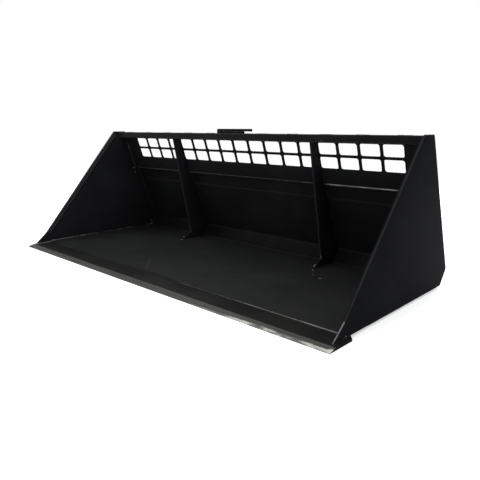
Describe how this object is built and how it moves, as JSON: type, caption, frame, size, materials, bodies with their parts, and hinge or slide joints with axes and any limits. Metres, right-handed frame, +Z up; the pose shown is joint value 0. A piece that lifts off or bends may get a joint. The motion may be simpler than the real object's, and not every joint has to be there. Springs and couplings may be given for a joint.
{
  "type": "skid steer bucket",
  "caption": "Wide welded snow and light-material bucket with a see-through screen, inner ribs, a flat cutting edge and a rear quick-attach frame.",
  "frame": {"origin": "bottom centre of the whole bucket's box, on the ground under the cutting edge and the wear strips", "axes": "+X across the bucket to the right as seen from its open front, +Y from the cutting edge towards the machine, +Z up"},
  "size_m": [2.476, 1.222, 0.8016],
  "materials": {
    "side_paint": "satin black paint",
    "shell_paint": "satin black paint, scuffed on the floor",
    "screen_paint": "satin black paint",
    "rail_paint": "satin black paint",
    "rib_paint": "satin black paint",
    "edge_steel": "black paint worn to bare steel along the bevel",
    "step_paint": "satin black paint",
    "mount_paint": "satin black paint",
    "strip_paint": "black paint, scratched underneath"
  },
  "bodies": {
    "root": {"side_plate_left": "side_paint", "side_plate_right": "side_paint", "side_edge_bar_left": "side_paint", "side_edge_bar_right": "side_paint", "floor_back_shell": "shell_paint", "screen_panel": "screen_paint", "screen_sill": "screen_paint", "top_rail": "rail_paint", "rib_left": "rib_paint", "rib_right": "rib_paint", "cutting_edge": "edge_steel", "wear_strip_outer_left": "strip_paint", "wear_strip_inner_left": "strip_paint", "wear_strip_outer_right": "strip_paint", "wear_strip_inner_right": "strip_paint", "step_riser": "step_paint", "step_tread": "step_paint", "attach_plate_left": "mount_paint", "attach_plate_right": "mount_paint", "attach_lower_tie": "mount_paint", "attach_gusset_outer_left": "mount_paint", "attach_gusset_inner_left": "mount_paint", "attach_gusset_outer_right": "mount_paint", "attach_gusset_inner_right": "mount_paint", "attach_top_hook": "mount_paint", "attach_foot_left": "mount_paint", "attach_foot_right": "mount_paint"}
  },
  "joints": []
}
